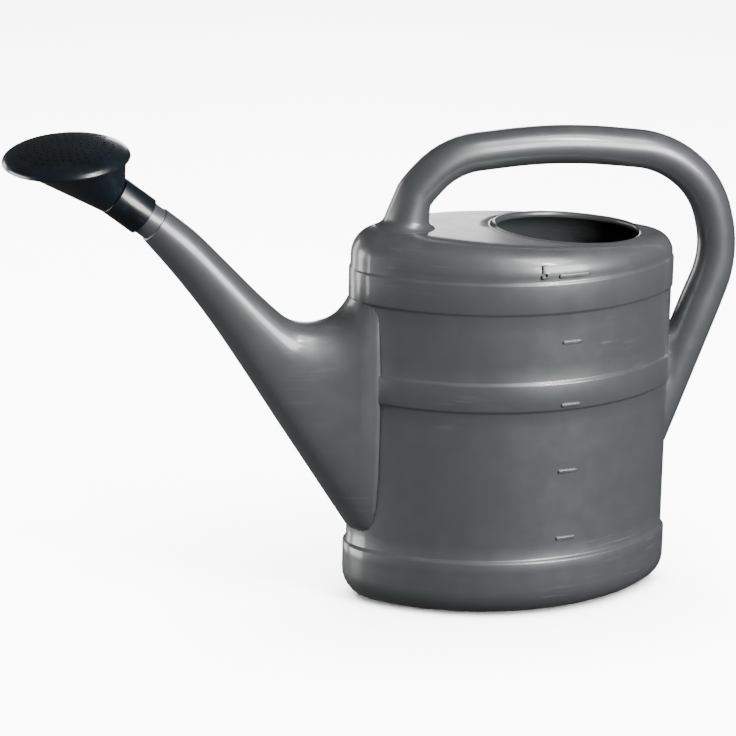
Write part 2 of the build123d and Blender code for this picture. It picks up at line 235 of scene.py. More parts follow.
def next_ring(bm, ring, place):
    """Extrude the ring and move the new points to their places."""
    edges = [bm.edges.get((a, b)) for a, b in zip(ring, ring[1:] + ring[:1])]
    made = bmesh.ops.extrude_edge_only(bm, edges=edges)
    fresh = {item for item in made["geom"] if isinstance(item, bmesh.types.BMVert)}
    partner = {}
    for vert in ring:
        partner[vert] = next(e.other_vert(vert) for e in vert.link_edges if e.other_vert(vert) in fresh)
    ring = [partner[vert] for vert in ring]
    for step, vert in enumerate(ring):
        vert.co = place(step)
    return ring


def ring_edges(bm, ring):
    return [bm.edges.get((a, b)) for a, b in zip(ring, ring[1:] + ring[:1])]


def skin(bm, count, places):
    """A surface through a list of rings; gives back its first and last ring."""
    first = first_ring(bm, count, places[0])
    ring = first
    for place in places[1:]:
        ring = next_ring(bm, ring, place)
    return first, ring


def sort_parts(bm):
    """Put edges and faces in the order of their points, because extruding orders them anew each run."""
    bm.verts.index_update()
    for parts in (bm.edges, bm.faces):
        ranked = sorted(parts, key=lambda part: sorted(vert.index for vert in part.verts))
        for place, part in enumerate(ranked):
            part.index = place
        parts.sort()


def finish_mesh(bm, name, crease=CREASE):
    """Turn a bmesh into an object at the origin, faces outwards, smooth but for its real edges."""
    sort_parts(bm)
    bmesh.ops.remove_doubles(bm, verts=bm.verts, dist=1e-6)
    bmesh.ops.recalc_face_normals(bm, faces=bm.faces)
    mesh = bpy.data.meshes.new(name)
    bm.to_mesh(mesh)
    bm.free()
    obj = bpy.data.objects.new(name, mesh)
    bpy.context.scene.collection.objects.link(obj)
    soften(mesh, crease)
    return obj


def soften(mesh, crease):
    mesh.shade_smooth()
    mesh.set_sharp_from_angle(angle=radians(crease))


def settle(obj, crease=CREASE):
    """Apply the object's modifiers to its mesh."""
    depsgraph = bpy.context.evaluated_depsgraph_get()
    done = bpy.data.meshes.new_from_object(obj.evaluated_get(depsgraph))
    obj.modifiers.clear()
    obj.data = done
    soften(done, crease)


def cut_away(obj, cutters):
    """Cut other closed pieces out of this one, and delete them."""
    for cutter in cutters:
        cut = obj.modifiers.new("cut", "BOOLEAN")
        cut.operation = "DIFFERENCE"
        cut.solver = "EXACT"
        cut.object = cutter
    settle(obj)
    for cutter in cutters:
        bpy.data.objects.remove(cutter)


def place_piece(obj, body, material, nodes=()):
    """Hand a finished piece to the frame."""
    obj.data.materials.clear()
    obj.data.materials.append(material)
    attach(obj, body)
    if nodes:
        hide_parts(*nodes)
    return obj


def blend_value(low, high, along):
    return low + (high - low) * along


def ease(along):
    along = min(max(along, 0), 1)
    return along * along * (3 - 2 * along)


# ---------------------------------------------------------------- the tank's plan and deck
def side_radius(s):
    reach = s.half_length - s.end_radius
    return (reach**2 + s.half_width**2 - s.end_radius**2) / (2 * (s.half_width - s.end_radius))


def plan_point(s, step, inset):
    """A point of the oval drawn in by an inset, found by the direction its wall faces."""
    facing = 2 * pi * step / RING
    reach = s.half_length - s.end_radius
    drop = side_radius(s) - s.half_width
    lean = atan2(drop, reach)
    outward = Vector((cos(facing), sin(facing)))
    if abs(outward.y) < sin(lean):
        centre = Vector((reach if outward.x > 0 else -reach, 0))
        return centre + outward * (s.end_radius - inset)
    centre = Vector((0, -drop if outward.y > 0 else drop))
    return centre + outward * (side_radius(s) - inset)


def depth_inside(s, x, y):
    """How far a point of the plan lies inside the oval."""
    reach = s.half_length - s.end_radius
    drop = side_radius(s) - s.half_width
    if abs(x) > reach and abs(y) * reach < drop * (abs(x) - reach) + 1e-9:
        return s.end_radius - hypot(abs(x) - reach, y)
    return side_radius(s) - hypot(x, abs(y) + drop)


def deck_height(s, x, y):
    """The sloping deck, very slightly crowned across."""
    return s.deck_height - x * tan(s.deck_fall) - s.deck_crown * (y / s.half_width) ** 2


def shoulder_radius(s, x):
    return blend_value(s.front_shoulder, s.back_shoulder, ease(0.5 + x / (2 * s.half_length)))


def top_height(s, x, y, depth=0):
    """The top surface, deck or rounded shoulder, over a point of the plan, or a depth below it."""
    radius = shoulder_radius(s, x)
    reach = radius - depth
    inset = min(max(depth_inside(s, x, y) - depth, 0), reach)
    return deck_height(s, x, y) - radius + sqrt(reach**2 - (reach - inset) ** 2)


def band_edge(low, high, start, end):
    """Points of an S-shaped step in the wall, from one inset to another."""
    return [(blend_value(start, end, ease(t / 5)), blend_value(low, high, t / 5)) for t in range(6)]


# Distance inside the foot's rounding, and height in shares of the recess, from the floor's middle outwards.
FLOOR_PROFILE = ((11, 1.0), (8, 0.9), (5, 0.25), (3, 0.0), (0, 0.0))


def wall_profile(s):
    """Insets and heights from the middle of the floor, round the foot and up the wall."""
    edge = s.band_edge / 2
    foot = s.foot_radius - s.band_proud
    points = [(foot + reach * MM, s.foot_recess * rise) for reach, rise in FLOOR_PROFILE]
    for turn in range(1, FOOT_STEPS + 1):
        angle = pi / 2 * turn / FOOT_STEPS
        points.append((foot - s.foot_radius * sin(angle), s.foot_radius * (1 - cos(angle))))
    points += [(-s.band_proud, height * MM) for height in (26, 32)]
    points += band_edge(s.base_band_top - edge, s.base_band_top + edge, -s.band_proud, 0)
    points += upright(s.base_band_top + edge, s.mid_band_low - edge, 0)
    points += band_edge(s.mid_band_low - edge, s.mid_band_low + edge, 0, -s.mid_band_proud)
    points += upright(s.mid_band_low + edge, s.mid_band_high - edge, -s.mid_band_proud)
    points += band_edge(s.mid_band_high - edge, s.mid_band_high + edge, -s.mid_band_proud, 0)
    points += upright(s.mid_band_high + edge, s.top_band_low - edge, 0)
    points += band_edge(s.top_band_low - edge, s.top_band_low + edge, 0, -s.top_band_proud)
    points += upright(s.top_band_low + edge, s.top_band_high - edge, -s.top_band_proud)
    points += band_edge(s.top_band_high - edge, s.top_band_high + edge, -s.top_band_proud, 0)
    return points


def upright(low, high, inset):
    """Points up a plain stretch of wall, about a centimetre apart."""
    steps = max(1, round((high - low) / (10 * MM)))
    return [(inset, blend_value(low, high, t / steps)) for t in range(1, steps)]


# Distance outside the filler mouth's edge, and height above the deck in shares of the lip's rise.
LIP_PROFILE = ((6.5, 0.0), (5.6, -0.1), (4.8, -0.05), (4.0, 0.25), (3.2, 0.65), (2.3, 0.94), (1.4, 0.97),
               (0.6, 0.66), (0.1, 0.1), (0.0, -0.5))


def outside_places(s):
    """Every ring of the tank's outside, from the floor's middle to the mouth's edge."""
    places = [lambda k, i=inset, z=height: (*plan_point(s, k, i), z) for inset, height in wall_profile(s)]
    for turn in range(0, SHOULDER_STEPS + 1):
        places.append(lambda k, a=turn / SHOULDER_STEPS: shoulder_point(s, k, a, 0))
    for along in range(1, DECK_STEPS):
        places.append(lambda k, t=along / DECK_STEPS: deck_point(s, k, t, 0))
    for grow, lift in LIP_PROFILE:
        places.append(lambda k, g=grow * MM, h=lift: mouth_point(s, k, g, h * lip_rise(s, k)))
    return places


def inside_places(s):
    """Every ring of the tank's inside, from under the mouth's edge to the floor's middle."""
    places = [lambda k: mouth_point(s, k, 0.3 * MM, -s.wall - 0.4 * MM)]
    for along in range(DECK_STEPS - 1, 0, -1):
        places.append(lambda k, t=along / DECK_STEPS: deck_point(s, k, t, s.wall))
    for turn in range(SHOULDER_STEPS, -1, -1):
        places.append(lambda k, a=turn / SHOULDER_STEPS: shoulder_point(s, k, a, s.wall))
    for height in (200, 180, 160, 140, 120, 100, 80, 60, 40, 25):
        places.append(lambda k, z=height * MM: (*plan_point(s, k, s.wall), z))
    radius = s.foot_radius - s.band_proud - s.wall
    floor = s.foot_recess + s.wall
    for turn in range(0, INNER_FOOT_STEPS + 1):
        angle = pi / 2 * turn / INNER_FOOT_STEPS
        inset = s.wall + radius * (1 - cos(angle))
        height = floor + radius * (1 - sin(angle))
        places.append(lambda k, i=inset, z=height: (*plan_point(s, k, i), z))
    return places


def lip_rise(s, step):
    """The lip stands up along the far side and dies away along the near side, a little later at the back."""
    around = 2 * pi * step / RING
    far_share, back_share = 0.62, 0.12
    risen = ease(0.5 + far_share * sin(around) + back_share * cos(around))
    return s.lip_rise * blend_value(s.near_lip, 1, risen)


def shoulder_end(s, step):
    """The angle up to which the shoulder is round; where the mouth is near, its lip stands on the round."""
    x, y = lip_foot(s, step)
    share_left = 1 - depth_inside(s, x, y) / shoulder_radius(s, plan_point(s, step, 0).x)
    least = 0.02                # keeps the shoulder's last ring off the deck's first
    return acos(min(max(share_left, least), 1))


def shoulder_point(s, step, along, depth):
    """A point of the rounded shoulder, or a depth inside it; its radius changes from front to back."""
    radius = shoulder_radius(s, plan_point(s, step, 0).x)
    x, y = plan_point(s, step, radius - (radius - depth) * cos(along * shoulder_end(s, step)))
    return x, y, top_height(s, x, y, depth)


def round_mouth(s, step):
    """The direction from the mouth's middle, as an ellipse's angle, for a point round the tank."""
    shoulder = plan_point(s, step, shoulder_radius(s, plan_point(s, step, 0).x))
    return atan2(shoulder.y / s.mouth_half_width, (shoulder.x - s.mouth_x) / s.mouth_half_length)


def lip_foot(s, step):
    grow = LIP_PROFILE[0][0] * MM
    around = round_mouth(s, step)
    return s.mouth_x + (s.mouth_half_length + grow) * cos(around), (s.mouth_half_width + grow) * sin(around)


def mouth_point(s, step, grow, lift):
    """A point round the filler mouth, in line with the shoulder's point of the same number."""
    around = round_mouth(s, step)
    x = s.mouth_x + (s.mouth_half_length + grow) * cos(around)
    y = (s.mouth_half_width + grow) * sin(around)
    return x, y, top_height(s, x, y) + lift


def deck_point(s, step, along, depth):
    start = Vector(shoulder_point(s, step, 1, depth)).xy
    x, y = start.lerp(Vector(lip_foot(s, step)), along)
    return x, y, top_height(s, x, y, depth)


def tank_block(s):
    """The tank's outside as one closed block, to cut other pieces with."""
    return closed_skin("tank_block", RING, outside_places(s))


# ---------------------------------------------------------------- handle
# Corners of the handle's centre line: behind its foot and below its top, then in front of its back and below.
FRONT_CORNERS = ((0, 64), (6, 35), (34, 6))
BACK_CORNERS = ((119, 0), (44, 9), (12, 35), (0, 81), (17, 125))
ROOT_SWELL_LENGTH = 34 * MM
TAIL_SWELL_START = 150 * MM     # from the tail's end
TAIL_SWELL_LENGTH = 60 * MM
FILLET_SWELL = 0.62             # share of the root's swell that is left at the fillet
FILLET_ANGLES = (-14, 12, 26, 40, 54, 68, 80, 90)


def handle_corners(tank, s):
    """The corners of the handle's centre line, from the deck to the back wall."""
    front = s.setback - tank.half_length
    back = tank.half_length + s.overhang
    top = tank.deck_height + s.rise
    corners = [Vector((front + behind * MM, 0, top - drop * MM)) for behind, drop in FRONT_CORNERS]
    corners += [Vector((back - ahead * MM, 0, top - drop * MM)) for ahead, drop in BACK_CORNERS]
    end = tank.half_length - s.thickness / 2 + 1.5 * MM
    return corners + [Vector((end, 0, s.tail_height))]


ARC_SHARE = 0.48                # share of a corner's shorter run that its arc takes up


def route(corners, spacing):
    """Points and directions along straight runs joined by the largest arcs that fit."""
    stations = [(corners[0], (corners[1] - corners[0]).normalized())]
    for before, corner, after in zip(corners, corners[1:], corners[2:]):
        into = (corner - before).normalized()
        out = (after - corner).normalized()
        turn = into.angle(out)
        reach = ARC_SHARE * min((corner - before).length, (after - corner).length)
        radius = reach / tan(turn / 2)
        centre = corner - into * reach + (out - into.dot(out) * into).normalized() * radius
        start = corner - into * reach
        stations += straight(stations[-1][0], start, spacing)
        steps = max(2, round(radius * turn / spacing))
        axis = into.cross(out).normalized()
        for step in range(1, steps + 1):
            spin = Matrix.Rotation(turn * step / steps, 3, axis)
            stations.append((centre + spin @ (start - centre), spin @ into))
    return stations + straight(stations[-1][0], corners[-1], spacing)


def straight(start, end, spacing):
    run = end - start
    steps = round(run.length / spacing)
    return [(start + run * step / steps, run.normalized()) for step in range(1, steps + 1)] if steps else []


def handle_radius(s, travelled, total):
    """Radius of the handle at a distance along its centre line."""
    root = s.root_swell * max(0, 1 - travelled / ROOT_SWELL_LENGTH) ** 1.5
    tail = s.tail_swell * ease((travelled - total + TAIL_SWELL_START) / TAIL_SWELL_LENGTH)
    return s.thickness / 2 * (1 + root + tail)


def tube_place(tank, centre, direction, radius, flare):
    """A section across the direction of travel, round but for a flare where it nears the tank's wall."""
    across = Vector((0, 1, 0))
    upward = direction.cross(across)

    def place(k):
        outward = cos(2 * pi * k / TUBE) * upward + sin(2 * pi * k / TUBE) * across
        point = centre + radius * outward
        gap = min(max(-depth_inside(tank, point.x, point.y), 0), flare)
        return point + outward * (flare - sqrt(flare**2 - (flare - gap) ** 2))
    return place


def handle_places(tank, s):
    """Every ring of the handle, from the fillet on the deck to the tail inside the back wall."""
    stations = route(handle_corners(tank, s), 5 * MM)
    lengths = [0]
    for before, after in zip(stations, stations[1:]):
        lengths.append(lengths[-1] + (after[0] - before[0]).length)
    clear = 2.6 * s.root_fillet
    foot = next(i for i, (point, _) in enumerate(stations) if point.z > deck_height(tank, point.x, 0) + clear)
    places = root_places(tank, s, stations[foot - 1][0], stations[0][1])
    for (point, direction), travelled in list(zip(stations, lengths))[foot:]:
        radius = handle_radius(s, travelled, lengths[-1])
        places.append(tube_place(tank, point, direction, radius, tail_flare(tank, s, point)))
    return places


def tail_flare(tank, s, point):
    """The flare against the back wall: full at the top of the back leg's landing, none at its tail."""
    risen = (point.z - s.tail_height) / (tank.top_band_low - s.tail_height)
    return s.tail_flare * ease(risen) if point.x > tank.half_length / 2 and risen < 1.05 else 0


def root_places(tank, s, above, direction):
    """Rings of the fillet between the front leg and the deck, lowest first."""
    return [lambda k, a=radians(angle): root_point(tank, s, above, direction, k, a)
            for angle in FILLET_ANGLES]


def root_point(tank, s, above, direction, step, angle):
    """A point of the fillet: it flares outwards as it comes down to the surface."""
    out = s.root_fillet * (1 - sin(max(angle, 0)))
    lift = s.root_fillet * (1 - cos(angle)) if angle > 0 else s.root_fillet * sin(angle)
    deck = deck_height(tank, above.x, 0)
    centre = above - direction * ((above.z - deck - max(lift, 0)) / direction.z)
    radius = s.thickness / 2 * (1 + s.root_swell * FILLET_SWELL) + out
    around = 2 * pi * step / TUBE
    x = centre.x - radius * cos(around)
    y = radius * sin(around)
    return x, y, top_height(tank, x, y) + lift


# ---------------------------------------------------------------- spout and neck
# Distance in front of the tank and height of the underside, then of the top, from inside the tank outwards.
SPOUT_STATIONS = (
    (-19.4, 20.0, -19.4, 240.0), (-3.4, 44.7, -4.4, 217.5), (4.6, 57.3, 3.1, 205.5),
    (12.6, 69.8, 11.6, 198.0), (22.6, 85.5, 22.1, 194.8), (36.6, 107.5, 33.1, 194.8),
    (51.6, 131.0, 44.6, 199.0), (72.6, 164.5, 62.6, 215.5), (95.4, 199.5, 84.6, 238.5),
    (117.6, 229.5, 105.1, 259.5),
)


SLOT_FULLNESS = 3.2             # how quickly a section's round ends run into its flanks
WIDTH_TAPER = 1.15              # how late the spout narrows towards the neck
WALL_SLANT = 1.7                # the wall is this much thicker measured along the first, slanting sections
# Distance beyond the spout's shoulder, and how much of the shoulder's step is left there.
NECK_RINGS = ((0.1, 0.7), (0.2, 0.1), (0.6, 0), (6, 0), (12, 0), (20, 0))


def neck_frame(s, tank):
    """The neck's foot, its direction, and the direction square above it."""
    foot = Vector((-tank.half_length - s.neck_reach, 0, s.neck_height))
    along = Vector((-cos(s.neck_rise), 0, sin(s.neck_rise)))
    above = Vector((sin(s.neck_rise), 0, cos(s.neck_rise)))
    return foot, along, above


def curve_through(points, along):
    """A smooth curve through evenly numbered points, at a place from 0 to the last number."""
    index = min(int(along), len(points) - 2)
    t = along - index
    p1, p2 = points[index], points[index + 1]
    p0 = points[index - 1] if index else p1 * 2 - p2
    p3 = points[index + 2] if index + 2 < len(points) else p2 * 2 - p1
    return 0.5 * (2 * p1 + (p2 - p0) * t + (2 * p0 - 5 * p1 + 4 * p2 - p3) * t**2
                  + (3 * p1 - p0 - 3 * p2 + p3) * t**3)


def slot_place(low, high, half_width, inset):
    """A tall section with round ends and slightly crowned flanks, between two points."""
    upward = (high - low).normalized()
    half_height = (high - low).length / 2 - inset
    half_width = half_width - inset
    middle = (low + high) / 2
    flank = max(half_height - half_width, 0)

    def place(k):
        c, w = cos(2 * pi * k / TUBE), sin(2 * pi * k / TUBE)
        spread = SLOT_FULLNESS * c / sqrt(1 + (SLOT_FULLNESS**2 - 1) * c * c)
        return middle + upward * (flank * spread + half_width * c) + Vector((0, half_width * w, 0))
    return place


def spout_places(tank, s, inset):
    """The spout's rings, from inside the tank to the neck's shoulder."""
    foot, along, above = neck_frame(s, tank)
    end_radius = s.neck_diameter / 2 + s.neck_shoulder
    front = -tank.half_length
    lows = [Vector((front - a * MM, 0, b * MM)) for a, b, _, _ in SPOUT_STATIONS]
    highs = [Vector((front - c * MM, 0, d * MM)) for _, _, c, d in SPOUT_STATIONS]
    lows += [foot - above * end_radius]
    highs += [foot + above * end_radius]
    last = len(lows) - 1
    places = []
    for step in range(SPOUT_STEPS * last + 1):
        at = step / SPOUT_STEPS
        width = blend_value(s.root_half_width, end_radius, (at / last) ** WIDTH_TAPER)
        slant = blend_value(WALL_SLANT, 1.0, ease(at / last))
        low, high = curve_through(lows, at), curve_through(highs, at)
        extra = (high - low).normalized() * inset * (slant - 1)
        places.append(slot_place(low + extra, high - extra, width, inset))
    return places


def neck_place(s, tank, distance, radius):
    """A round ring of the neck, at a distance beyond the spout's shoulder."""
    foot, along, above = neck_frame(s, tank)
    centre = foot + along * distance

    def place(k):
        around = 2 * pi * k / TUBE
        return centre + radius * (cos(around) * above + sin(around) * Vector((0, 1, 0)))
    return place


# ---------------------------------------------------------------- rose
def rose_matrix(rose, spout, tank):
    """From a frame on the sleeve's far end, Z along the neck, to the can."""
    foot, along, above = neck_frame(spout, tank)
    start = foot + along * (rose.sleeve_start + rose.sleeve_length)
    across = along.cross(above)
    axes = Matrix((above, across, along)).transposed().to_4x4()
    return Matrix.Translation(start) @ axes @ Matrix.Rotation(rose.turn, 4, "Z")


def face_matrix(rose, spout):
    """From the face's own frame, Z out of the face, to the frame on the sleeve's far end."""
    tilt = pi / 2 - spout.neck_rise - rose.face_lean
    return Matrix.Translation((rose.face_offset, 0, rose.face_along)) @ Matrix.Rotation(tilt, 4, "Y")


def turned_piece(outline, steps, matrix, name, crease=CREASE):
    """Spin a closed outline of radii and heights into a solid, and put it in place."""
    bm = bmesh.new()
    verts = [bm.verts.new((radius, 0, height)) for radius, height in outline]
    pairs = [pair for pair in zip(verts, verts[1:] + verts[:1]) if max(v.co.x for v in pair) > 0]
    edges = [bm.edges.new(pair) for pair in pairs]
    bmesh.ops.spin(bm, geom=verts + edges, cent=(0, 0, 0), axis=(0, 0, 1), angle=2 * pi, steps=steps,
                   use_merge=True)
    bmesh.ops.transform(bm, matrix=matrix, verts=bm.verts)
    return finish_mesh(bm, name, crease)


def rounded(corners, radius, steps=4):
    """A closed outline with every corner rounded a little."""
    points = []
    count = len(corners)
    for index in range(count):
        before, corner, after = (Vector(corners[i % count]) for i in (index - 1, index, index + 1))
        into, out = (corner - before), (after - corner)
        reach = min(radius, 0.45 * into.length, 0.45 * out.length)
        start, end = corner - into.normalized() * reach, corner + out.normalized() * reach
        for step in range(steps + 1):
            t = step / steps
            points.append(tuple(start * (1 - t) ** 2 + corner * 2 * t * (1 - t) + end * t**2))
    return points


def wall_front(s, x, inset=0):
    """How far the near side wall lies in front of the middle plane, at a distance along the can."""
    drop = side_radius(s) - s.half_width
    return drop - sqrt((side_radius(s) - inset) ** 2 - x * x)


def inset_at(tank, x, height):
    """How far the near wall is drawn in at a height: out at a band, in on the rounded shoulder."""
    if tank.mid_band_low < height < tank.mid_band_high:
        return -tank.mid_band_proud
    radius = shoulder_radius(tank, x)
    start = deck_height(tank, x, -tank.half_width) - radius
    if height > start:
        return radius - sqrt(radius**2 - (height - start) ** 2)
    return 0


def wrap_on_wall(bm, tank, x, height):
    """Lay a flat piece, thick along Y, on the near wall."""
    for vert in bm.verts:
        across, up = x + vert.co.x, height + vert.co.z
        vert.co = (across, wall_front(tank, across, inset_at(tank, across, up)) + vert.co.y, up)


# ---------------------------------------------------------------- operators, one for each piece
class WATERINGCAN_OT_tank(bpy.types.Operator):
    """Build the oval tank: foot, bands, shoulder, deck and filler mouth"""
    bl_idname = "wateringcan.tank"
    bl_label = "Tank"

    def execute(self, context):
        tank = context.scene.can_tank
        spout = context.scene.can_spout
        shell = closed_skin("can_tank", RING, outside_places(tank) + inside_places(tank))
        cut_away(shell, [closed_skin("port", TUBE, spout_places(tank, spout, tank.wall))])
        place_piece(shell, "can", can_material(context), ("tank_base", "tank_wall", "tank_top"))
        return {"FINISHED"}


class WATERINGCAN_OT_handle(bpy.types.Operator):
    """Build the loop handle"""
    bl_idname = "wateringcan.handle"
    bl_label = "Handle"

    def execute(self, context):
        tank = context.scene.can_tank
        loop = closed_skin("can_handle", TUBE, handle_places(tank, context.scene.can_handle))
        cut_away(loop, [tank_block(tank)])
        place_piece(loop, "can", can_material(context), ("handle",))
        return {"FINISHED"}


class WATERINGCAN_OT_spout(bpy.types.Operator):
    """Build the tapering spout and its round neck"""
    bl_idname = "wateringcan.spout"
    bl_label = "Spout"

    def execute(self, context):
        tank = context.scene.can_tank
        spout = context.scene.can_spout
        outside, inside = spout.neck_diameter / 2, spout.neck_bore / 2
        edge = (outside - inside) / 2
        end = spout.neck_length
        places = spout_places(tank, spout, 0)
        for distance, left in NECK_RINGS:
            places.append(neck_place(spout, tank, distance * MM, outside + spout.neck_shoulder * left))
        places.append(neck_place(spout, tank, end - edge, outside))
        for turn in range(1, 5):
            angle = pi * turn / 4
            radius = (outside + inside) / 2 + edge * cos(angle)
            places.append(neck_place(spout, tank, end - edge + edge * sin(angle), radius))
        places += [neck_place(spout, tank, distance, inside) for distance in (20 * MM, 10 * MM, 2 * MM)]
        tube = closed_skin("can_spout", TUBE, places)
        ease_into_tank(tube, tank, spout.root_rounding)
        cut_away(tube, [tank_block(tank)])
        cut_away(tube, [closed_skin("bore", TUBE, spout_places(tank, spout, tank.wall))])
        place_piece(tube, "can", can_material(context), ("spout", "spout_neck"))
        return {"FINISHED"}


def closed_skin(name, count, places):
    """A surface through rings, closed at both ends."""
    bm = bmesh.new()
    first, last = skin(bm, count, places)
    bmesh.ops.edgeloop_fill(bm, edges=ring_edges(bm, first))
    bmesh.ops.edgeloop_fill(bm, edges=ring_edges(bm, last))
    return finish_mesh(bm, name)


EDGE_CUTS = 30                  # planes that cut the spout near the wall, four to a rounding's radius


def ease_into_tank(obj, tank, radius):
    """Turn the skin inwards just before the tank's wall, as a rounded edge that dies away at the top band."""
    bm = bmesh.new()
    bm.from_mesh(obj.data)
    start = -tank.half_length - tank.band_proud - radius
    for cut in range(EDGE_CUTS):
        bmesh.ops.bisect_plane(bm, geom=bm.verts[:] + bm.edges[:] + bm.faces[:], plane_no=(1, 0, 0),
                               plane_co=(start + radius / 4 * cut, 0, 0))
    bm.normal_update()
    moves = []
    for vert in bm.verts:
        gap = -depth_inside(tank, vert.co.x, vert.co.y) - band_proud_at(tank, vert.co.z)
        below = tank.top_band_low - vert.co.z
        if gap < radius and below > 0:
            turned_in = radius - sqrt(radius**2 - (radius - max(gap, 0)) ** 2)
            turned_in *= ease(below / (8 * radius) - 0.3)
            moves.append((vert, Vector((0, vert.normal.y, vert.normal.z)).normalized() * turned_in))
    for vert, move in moves:
        vert.co -= move
    sort_parts(bm)
    bm.to_mesh(obj.data)
    bm.free()
    soften(obj.data, CREASE)


def band_proud_at(tank, height):
    """How far the tank's bands stand out at a height."""
    if height < tank.base_band_top:
        return tank.band_proud
    if tank.top_band_low < height < tank.top_band_high:
        return tank.top_band_proud
    return tank.mid_band_proud if tank.mid_band_low < height < tank.mid_band_high else 0


class WATERINGCAN_OT_marks(bpy.types.Operator):
    """Build the litre marks and the numeral beside the full mark"""
    bl_idname = "wateringcan.marks"
    bl_label = "Litre marks"

    def execute(self, context):
        tank = context.scene.can_tank
        marks = context.scene.can_marks
        bm = bmesh.new()
        for height in (marks.first, marks.second, marks.third, marks.fourth):
            add_bar(bm, tank, marks, height, marks.dash, marks.width)
        place_piece(finish_mesh(bm, "can_litre_marks"), "can", can_material(context))
        bm = bmesh.new()
        add_bar(bm, tank, marks, marks.full, marks.full_dash, marks.full_width)
        place_piece(finish_mesh(bm, "can_full_mark"), "can", can_material(context))
        place_piece(numeral(tank, marks), "can", can_material(context))
        return {"FINISHED"}


def add_bar(bm, tank, marks, height, long, wide):
    """A raised bar with round ends, laid on the wall."""
    bar = bmesh.new()
    bmesh.ops.create_cube(bar, size=1)
    bmesh.ops.scale(bar, vec=(long, 2 * marks.proud, wide), verts=bar.verts)
    ends = [edge for edge in bar.edges if abs(edge.verts[0].co.y - edge.verts[1].co.y) > marks.proud]
    almost_half = 0.48
    bmesh.ops.bevel(bar, geom=ends, offset=almost_half * wide, affect="EDGES", segments=5, profile=0.5,
                    material=-1)
    top = [edge for edge in bar.edges if all(v.co.y < 0 for v in edge.verts)]
    rim = 0.45 * marks.proud
    bmesh.ops.bevel(bar, geom=top, offset=rim, affect="EDGES", segments=3, profile=0.5, material=-1)
    steps = round(long / (2 * MM))
    for cut in range(1, steps):
        place = (long * (cut / steps - 0.5), 0, 0)
        bmesh.ops.bisect_plane(bar, geom=bar.verts[:] + bar.edges[:] + bar.faces[:], plane_co=place,
                               plane_no=(1, 0, 0))
    wrap_on_wall(bar, tank, marks.place, height)
    bar.normal_update()
    mesh = bpy.data.meshes.new("bar")
    bar.to_mesh(mesh)
    bar.free()
    bm.from_mesh(mesh)
    bpy.data.meshes.remove(mesh)


DIGIT_SHARE = 0.72              # height of a digit in shares of its font's size
STROKE = 0.15 * MM              # how much bolder the numeral is than its font, and its edges' rounding


def numeral(tank, marks):
    """The full mark's numeral, in the plain built-in lettering."""
    curve = bpy.data.curves.new("numeral", "FONT")
    curve.body = "5"
    curve.size = marks.numeral / DIGIT_SHARE
    curve.extrude = 1.5 * marks.proud
    curve.bevel_depth = STROKE
    curve.offset = STROKE
    curve.resolution_u = 6
    text = bpy.data.objects.new("numeral_text", curve)
    bpy.context.scene.collection.objects.link(text)
    bpy.context.view_layer.update()
    flat = bpy.data.meshes.new_from_object(text.evaluated_get(bpy.context.evaluated_depsgraph_get()))
    bpy.data.objects.remove(text)
    bm = bmesh.new()
    bm.from_mesh(flat)
    bmesh.ops.rotate(bm, cent=(0, 0, 0), matrix=Matrix.Rotation(pi / 2, 3, "X"), verts=bm.verts)
    across = [v.co.x for v in bm.verts]
    upright_places = [v.co.z for v in bm.verts]
    middle = Vector((min(across) + max(across), 0, min(upright_places) + max(upright_places))) / 2
    bmesh.ops.translate(bm, vec=-middle, verts=bm.verts)
    place = marks.place - marks.full_dash / 2 - marks.numeral_gap
    wrap_on_wall(bm, tank, place, marks.full + marks.numeral_rise)
    return finish_mesh(bm, "can_numeral")


class WATERINGCAN_OT_sleeve(bpy.types.Operator):
    """Build the rose's push-on sleeve"""
    bl_idname = "wateringcan.sleeve"
    bl_label = "Rose sleeve"

    def execute(self, context):
        tank, spout, rose = context.scene.can_tank, context.scene.can_spout, context.scene.can_rose
        outside = rose.sleeve_diameter / 2
        bore = spout.neck_diameter / 2 + rose.fit
        hole = spout.neck_bore / 2
        start = -rose.sleeve_length
        outline = rounded([(outside, start), (outside, 0), (hole, 0), (hole, -rose.sleeve_web),
                           (bore, -rose.sleeve_web), (bore, start)], 0.5 * MM)
        sleeve = turned_piece(outline, ROSE_RING, rose_matrix(rose, spout, tank), "rose_sleeve_shell")
        place_piece(sleeve, "rose_sleeve", rose_material(context), ("rose_sleeve",))
        return {"FINISHED"}


class WATERINGCAN_OT_funnel(bpy.types.Operator):
    """Build the cone behind the rose's face"""
    bl_idname = "wateringcan.funnel"
    bl_label = "Rose funnel"

    def execute(self, context):
        tank, spout, rose = context.scene.can_tank, context.scene.can_spout, context.scene.can_rose
        rim = rose.face_radius - rose.skirt_wall - 0.2 * MM
        throat = (rose.throat + rose.sleeve_diameter / 2) / 2
        drop = rose.sleeve_diameter / 2 - throat
        matrix = rose_matrix(rose, spout, tank)
        tilt = face_matrix(rose, spout)
        places = []
        for step in range(0, FUNNEL_STEPS + 1):
            places.append(funnel_place(matrix, tilt, throat, drop, rim, step / FUNNEL_STEPS))
        bore, inner_rim = spout.neck_bore / 2, rim - rose.wall
        for step in range(FUNNEL_STEPS, -1, -1):
            places.append(funnel_place(matrix, tilt, bore, 0, inner_rim, step / FUNNEL_STEPS))
        bm = bmesh.new()
        first, last = skin(bm, ROSE_RING, places)
        bmesh.ops.bridge_loops(bm, edges=ring_edges(bm, first) + ring_edges(bm, last))
        cone = finish_mesh(bm, "rose_funnel_shell")
        place_piece(cone, "rose_head", rose_material(context), ("rose_funnel",))
        return {"FINISHED"}


